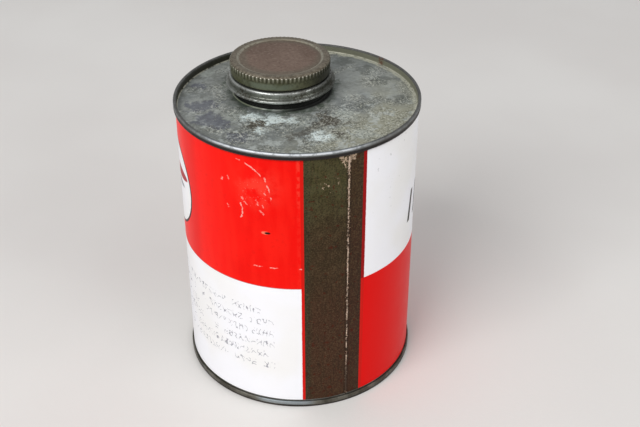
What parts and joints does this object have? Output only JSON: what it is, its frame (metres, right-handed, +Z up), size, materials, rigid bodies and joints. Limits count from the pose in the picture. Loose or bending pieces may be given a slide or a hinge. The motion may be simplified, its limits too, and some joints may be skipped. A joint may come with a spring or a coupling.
{
  "type": "screw-cap tin",
  "caption": "Tall round tinplate can with a red and white print, a lock-seamed side, double-seamed ends and an off-centre threaded neck closed by a knurled screw cap.",
  "frame": {"origin": "middle of the foot, on the plane that the lower double seam rests on", "axes": "+Z up along the can's axis; -Y through the side seam; the neck stands off the axis towards +Y"},
  "size_m": [0.111, 0.111, 0.1506],
  "materials": {
    "litho_print": "gloss litho print on tinplate, lightly scratched",
    "solder": "flaky, dull",
    "weathered_tinplate": "tarnished, patchy, satin",
    "seam_compound": "matte",
    "neck_tinplate": "worn, half bright",
    "lacquered_cap": "brown lacquer worn through at the knurls",
    "pulpboard": "matte",
    "tin_foil": "wrinkled, satin"
  },
  "bodies": {
    "can": {"body_shell": "litho_print", "side_seam_solder": "solder", "top_end": "weathered_tinplate", "bottom_end": "weathered_tinplate", "top_seam_compound": "seam_compound", "bottom_seam_compound": "seam_compound", "screw_neck": "neck_tinplate", "neck_seam_compound": "seam_compound"},
    "wad": {"cap_wad": "pulpboard", "wad_facing": "tin_foil"},
    "cap": {"screw_cap": "lacquered_cap"}
  },
  "joints": [
    {"name": "cap_rise", "type": "slide", "parent": "can", "child": "wad", "axis": [0, 0, 1], "range_m": [0, 0.0153]},
    {"name": "cap_turn", "type": "hinge", "parent": "wad", "child": "cap", "pos_m": [-0.0024, 0.0138, 0.146], "axis": [0, 0, 1], "range_deg": [0, 2160]}
  ],
  "couplings": [
    {"joint": "cap_rise", "follows": "cap_turn", "m_per_rad": 0.00040425}
  ]
}
